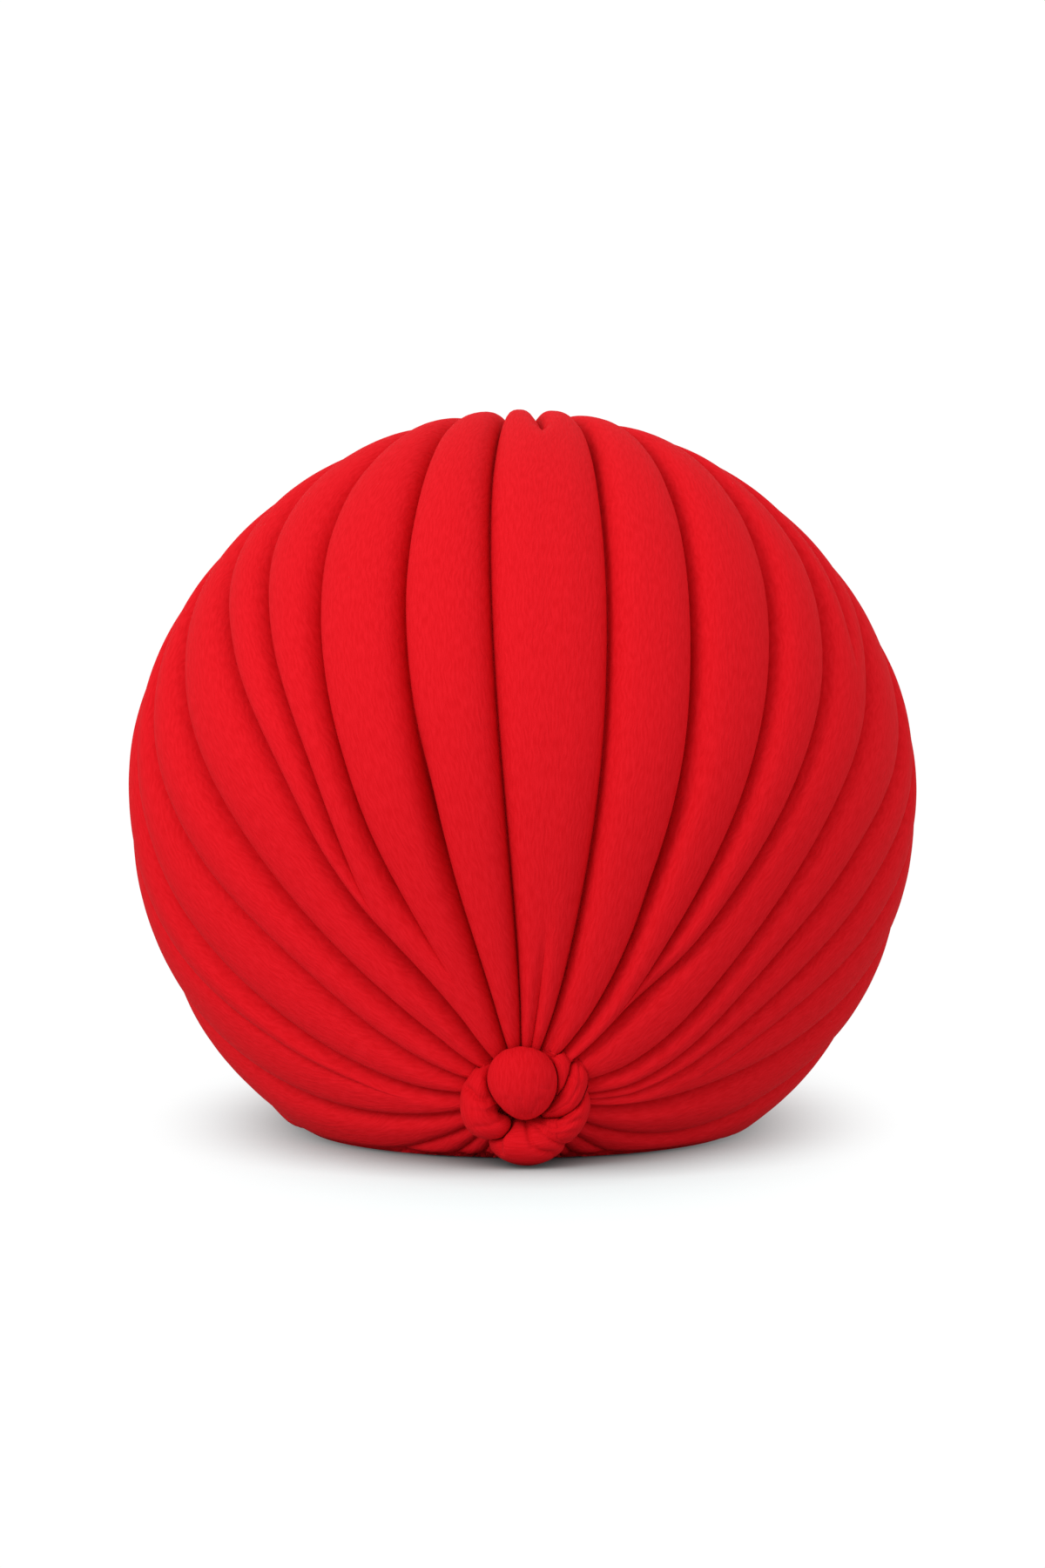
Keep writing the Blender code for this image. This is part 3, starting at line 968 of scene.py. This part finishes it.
STROKES = (
    Stroke("knot_ball", ((-4.4, 21.6), (-2.4, 18.6), (-0.8, 16.4)), 0.9, 0.5),
    Stroke("knot_ball", ((-0.6, 21.4), (0.4, 18.0), (0.9, 15.8)), 0.9, 0.5),
    Stroke("knot_ball", ((5.2, 21.2), (3.6, 18.5), (2.2, 16.2)), 0.9, 0.5),
    Stroke("knot_ball", ((3.0, 26.8), (5.6, 24.6), (8.6, 24.0)), 0.8, 0.25),
    Stroke("knot_left_turn", ((-18.4, 24.4), (-15.6, 23.4), (-13.6, 21.4), (-9.8, 21.0)), 1.5, 1.5),
    Stroke("knot_left_turn", ((-15.4, 17.6), (-10.6, 17.4), (-6.0, 17.6)), 1.2, 0.35),
    Stroke("knot_left_turn", ((-14.0, 12.6), (-9.5, 13.0), (-5.4, 15.2)), 1.2, 0.45),
    Stroke(
        "knot_bottom_turn",
        ((-2.1, 15.2), (-5.0, 12.0), (-6.8, 9.5), (-6.8, 7.0), (-6.4, 4.6)),
        1.2,
        0.7,
    ),
    Stroke(
        "knot_bottom_turn",
        ((0.6, 14.8), (1.6, 12.0), (2.1, 9.5), (3.2, 7.0), (5.2, 5.4), (8.8, 4.6)),
        1.2,
        1.4,
    ),
    Stroke("knot_right_turn", ((2.8, 15.2), (7.0, 13.4), (11.2, 12.9), (17.0, 14.6)), 1.3, 1.0),
    Stroke("knot_right_turn", ((6.4, 16.0), (12.0, 15.6), (15.6, 17.6), (18.4, 21.4)), 1.2, 0.8),
    Stroke("knot_right_turn", ((4.4, 12.2), (9.0, 10.2), (15.4, 11.0)), 1.2, 0.5),
    Stroke("knot_inner_strand", ((7.4, 34.6), (11.4, 31.6), (11.6, 26.0)), 1.0, 0.5),
    Stroke("knot_outer_strand", ((16.8, 30.6), (17.2, 25.0), (13.6, 19.4), (8.0, 16.8)), 1.2, 0.7),
)


@dataclass
class Knot:
    """The knot low at the front: a ball with rolls of cloth turned round it."""

    front: float = -0.1010
    gap: float = 0.0003
    # Beside its neighbours a piece rounds off over this reach, by this depth
    edge_reach: float = 0.0024
    edge_depth: float = 0.0007
    full_press_slope: float = 0.35
    settling: int = 2
    smoothing: float = 0.5
    line_out: Vector = field(default_factory=lambda: Vector((0.11, -0.9, 0.42)).normalized())
    sides: int = 96
    rows: int = 132
    bluntness: float = 5.0
    step: float = 0.02
    # The ball is a little wider above, and pressed in at its lower left
    ball_taper: float = 0.05
    ball_dent: float = 0.12
    dent_sharpness: int = 4
    wrinkle_mm: tuple[float, float] = (1.5, 6.0)
    wrinkle_height: float = 0.00010

    def buried(self, place: Vector, tree: BVHTree) -> bool:
        """Returns whether a place lies inside a piece.

        Args:
            place: The place.
            tree: A search tree of the piece.

        Returns:
            True where a line from the place crosses the piece's skin an odd number of times.
        """
        crossings = 0
        hit, _, _, _ = tree.ray_cast(place, self.line_out)
        while hit is not None:
            crossings += 1
            hit, _, _, _ = tree.ray_cast(hit + self.line_out * TINY / 10, self.line_out)
        return crossings % 2 == 1

    def press(self, shape: bmesh.types.BMesh, made: list[BVHTree]) -> None:
        """Moves what lies inside the earlier pieces or the floor out of them, and keeps the gap.

        Args:
            shape: The mesh to move.
            made: Search trees of the earlier pieces.
        """
        for vertex in shape.verts:
            for tree in made:
                place, normal, _, away = tree.find_nearest(vertex.co)
                inwards = (vertex.co - place).dot(normal) < 0.0
                if away < self.gap or (inwards and self.buried(vertex.co, tree)):
                    vertex.co = place + normal * self.gap
            vertex.co.z = max(vertex.co.z, 0.0)

    def finish(
        self, node: str, shape: bmesh.types.BMesh, spots: Spots, made: list[BVHTree]
    ) -> None:
        """Creases a piece, presses it against those made before it, and gives it its UV map.

        Args:
            node: The CAD node that the piece stands for.
            shape: The smooth mesh.
            spots: For each vertex its angle round the roll, its radius and its length along it.
            made: Search trees of the pieces that it gives way to.
        """
        facing_out(shape)
        shape.normal_update()
        strokes = [stroke for stroke in STROKES if stroke.node == node]
        across_mm, along_mm = self.wrinkle_mm
        moves = []
        for vertex in shape.verts:
            angle, radius, length = spots[vertex.index]
            inward = 0.0
            if vertex.normal.y < 0.0:
                right, up = vertex.co.x / MILLIMETRE, vertex.co.z / MILLIMETRE
                share = min(-vertex.normal.y / self.full_press_slope, 1.0)
                inward = share * sum(stroke.press(right, up) for stroke in strokes) * MILLIMETRE
            across = angle * radius / (across_mm * MILLIMETRE)
            spot = Vector((across, length / (along_mm * MILLIMETRE), len(node)))
            inward += self.wrinkle_height * noise.noise(spot)
            moves.append(vertex.normal * -inward)
        for vertex, move in zip(shape.verts, moves):
            vertex.co += move
            away = min(tree.find_nearest(vertex.co)[3] for tree in made)
            closeness = max(1.0 - away / self.edge_reach, 0.0)
            vertex.co -= vertex.normal * self.edge_depth * closeness**2
        for _ in range(self.settling):
            self.press(shape, made)
            bmesh.ops.smooth_vert(
                shape,
                verts=shape.verts,
                factor=self.smoothing,
                use_axis_x=True,
                use_axis_y=True,
                use_axis_z=True,
            )
        self.press(shape, made)
        cloth = shape.loops.layers.uv.new("cloth")
        for face in shape.faces:
            near = spots[face.verts[0].index][0]
            for loop in face.loops:
                angle, radius, length = spots[loop.vert.index]
                loop[cloth].uv = (unwrapped(angle, near) * radius, length)

    def roll(self, sections: tuple[Section, ...]) -> tuple[bmesh.types.BMesh, Spots]:
        """Builds a round-ended roll of cloth.

        Args:
            sections: The sections along it.

        Returns:
            The mesh, and for each vertex its angle round the roll, its radius and its length on it.
        """
        shape = bmesh.new()
        bmesh.ops.create_uvsphere(shape, u_segments=self.sides, v_segments=self.rows, radius=1.0)
        places = tuple(index / (len(sections) - 1) for index in range(len(sections)))
        half_widths = tuple(section.half_width for section in sections)
        half_thicknesses = tuple(section.half_thickness for section in sections)
        lines = tuple(zip(*((section.right, section.forward, section.up) for section in sections)))

        def middle(at: float) -> Vector:
            """Returns the middle of the roll at a part of its length."""
            right, forward, up = (through(places, line, at) * MILLIMETRE for line in lines)
            return Vector((right, self.front - forward, up))

        stops = [middle(index / self.rows) for index in range(self.rows + 1)]
        whole = sum((after - before).length for before, after in zip(stops, stops[1:]))
        spots = []
        for vertex in shape.verts:
            at = acos(min(max(vertex.co.z, -1.0), 1.0)) / pi
            across = Vector((vertex.co.x, vertex.co.y))
            across = across.normalized() if across.length > TINY else Vector((0.0, 0.0))
            ahead = middle(min(at + self.step, 1.0)) - middle(max(at - self.step, 0.0))
            ahead.normalize()
            sideways = ahead.cross(Vector((0.0, -1.0, 0.0))).normalized()
            outward = sideways.cross(ahead)
            rounding = sqrt(max(1.0 - abs(2 * at - 1) ** self.bluntness, 0.0)) * MILLIMETRE
            half_width = through(places, half_widths, at) * rounding
            half_thickness = through(places, half_thicknesses, at) * rounding
            vertex.co = middle(at) + sideways * across.x * half_width
            vertex.co += outward * across.y * half_thickness
            radius = (half_width + half_thickness) / 2
            spots.append((atan2(across.x, across.y), radius, at * whole))
        return shape, spots

    def ball(self) -> tuple[bmesh.types.BMesh, Spots]:
        """Builds the ball.

        Returns:
            The mesh, and for each vertex its angle round the ball, its radius and its height on it.
        """
        shape = bmesh.new()
        bmesh.ops.create_uvsphere(shape, u_segments=self.rows, v_segments=self.sides, radius=1.0)
        radius = (BALL.half_width + BALL.half_thickness) / 2 * MILLIMETRE
        spots = []
        for vertex in shape.verts:
            ring = sqrt(max(1.0 - vertex.co.z**2, 0.0))
            height = BALL_HALF_HEIGHT_MM * MILLIMETRE * acos(min(max(vertex.co.z, -1.0), 1.0))
            spots.append((atan2(vertex.co.x, -vertex.co.y), radius * ring, height))
        for vertex in shape.verts:
            low_left = max(-(vertex.co.x + vertex.co.z) / sqrt(2.0), 0.0)
            dent = self.ball_dent * low_left**self.dent_sharpness
            vertex.co.x *= (1.0 + self.ball_taper * vertex.co.z) * (1.0 - dent)
            vertex.co.z *= 1.0 - dent
        size = Vector((BALL.half_width, BALL.half_thickness, BALL_HALF_HEIGHT_MM)) * MILLIMETRE
        bmesh.ops.scale(shape, vec=size, verts=shape.verts)
        place = Vector((BALL.right, -BALL.forward, BALL.up)) * MILLIMETRE
        place += Vector((0.0, self.front, 0.0))
        bmesh.ops.translate(shape, vec=place, verts=shape.verts)
        return shape, spots

    def build(self, crepe: bpy.types.Material, crown_tree: BVHTree) -> list[bpy.types.Object]:
        """Builds the ball and the rolls, each in place of its solid.

        Args:
            crepe: The cloth.
            crown_tree: The outer side of the crown.

        Returns:
            The pieces of the knot.
        """
        made = [crown_tree]
        pieces = []
        for node in ("knot_ball", *ROLLS):
            shape, spots = self.roll(ROLLS[node]) if node in ROLLS else self.ball()
            self.finish(node, shape, spots, made)
            made.append(BVHTree.FromBMesh(shape))
            piece = add_piece(f"{node}_cloth", shape, crepe)
            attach(piece, "root")
            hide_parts(node)
            log.info("%s rides on root", piece.name)
            pieces.append(piece)
        return pieces


@dataclass(frozen=True)
class SoftLight:
    """A square studio light: its place, its side and its power in watts."""

    name: str
    place: tuple[float, float, float]
    side: float
    power: float


@dataclass
class Studio:
    """A plain pale studio: floor, white surroundings, one soft light and the photo's camera."""

    floor_half: float = 6.0
    floor_cells: int = 8
    elevation: float = radians(5.5)
    distance: float = 2.5
    pixels_per_metre: float = 3771.0
    picture_height: int = 1800
    picture_middle: float = 10.0
    sensor_mm: float = 36.0
    clip_end: float = 20.0
    surroundings: float = 0.99
    shown_white: float = 1.02
    key_light: SoftLight = SoftLight("key_light", (-1.6, -1.8, 1.3), 1.2, 25.0)

    def build(self, aim: Vector) -> None:
        """Builds the studio.

        Args:
            aim: The centre of the hat, which the camera and the light face.
        """
        shape = bmesh.new()
        cells = self.floor_cells
        bmesh.ops.create_grid(shape, x_segments=cells, y_segments=cells, size=self.floor_half)
        floor = add_piece("studio_floor", shape, PaleFloor().material())
        self.add_light(self.key_light, aim)
        self.add_surroundings()
        self.add_camera(aim)

    def add_light(self, light: SoftLight, aim: Vector) -> None:
        """Adds one soft light.

        Args:
            light: The light.
            aim: The centre of the hat, which it faces.
        """
        data = bpy.data.lights.new(light.name, "AREA")
        data.shape = "SQUARE"
        data.size = light.side
        data.energy = light.power
        lamp = bpy.data.objects.new(light.name, data)
        lamp.location = light.place
        lamp.rotation_mode = "QUATERNION"
        lamp.rotation_quaternion = (aim - lamp.location).to_track_quat("-Z", "Y")
        bpy.context.scene.collection.objects.link(lamp)

    def add_surroundings(self) -> None:
        """Adds plain white surroundings, which give most of the light."""
        world = bpy.data.worlds.new("white_surroundings")
        world.use_nodes = True
        tree = world.node_tree
        background = tree.nodes["Background"]
        background.inputs["Color"].default_value = WHITE
        strength = add_strength(tree, self.surroundings, self.shown_white)
        tree.links.new(strength, background.inputs["Strength"])
        bpy.context.scene.world = world

    def add_camera(self, aim: Vector) -> None:
        """Adds the camera, with the photo's angle, distance and framing.

        Args:
            aim: The centre of the hat, which it faces.
        """
        ahead = Vector((0.0, cos(self.elevation), -sin(self.elevation)))
        upward = Vector((0.0, sin(self.elevation), cos(self.elevation)))
        data = bpy.data.cameras.new("photo_camera")
        data.sensor_fit = "VERTICAL"
        data.sensor_height = self.sensor_mm
        data.lens = self.pixels_per_metre * self.distance * self.sensor_mm / self.picture_height
        data.clip_end = self.clip_end
        camera = bpy.data.objects.new("photo_camera", data)
        raised = self.picture_middle / self.pixels_per_metre
        camera.location = aim + upward * raised - ahead * self.distance
        camera.rotation_mode = "QUATERNION"
        camera.rotation_quaternion = ahead.to_track_quat("-Z", "Y")
        scene = bpy.context.scene
        scene.collection.objects.link(camera)
        scene.camera = camera
        scene.view_settings.view_transform = "Standard"


def main() -> None:
    logging.basicConfig(level=logging.INFO, format="%(name)s: %(message)s")
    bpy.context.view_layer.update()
    crown = PleatedCrown()
    Studio().build(crown.centre)
    crepe = CrinkledCrepe("crinkled_crepe")
    crown_piece, crown_tree = crown.build(crepe.material())
    log.info("%s rides on root", crown_piece.name)
    stretched = CrinkledCrepe(
        "stretched_crepe",
        colour="#cb0f18",
        # The knot's ridge crests also get a lighter red, a painted highlight
        ridge_highlight_colour="#d5151f",
        ridge_height_mm=0.13,
        rib_height_mm=0.05,
    )
    Knot().build(stretched.material(), crown_tree)
    log.info("boxes written")


if __name__ == "__main__":
    main()
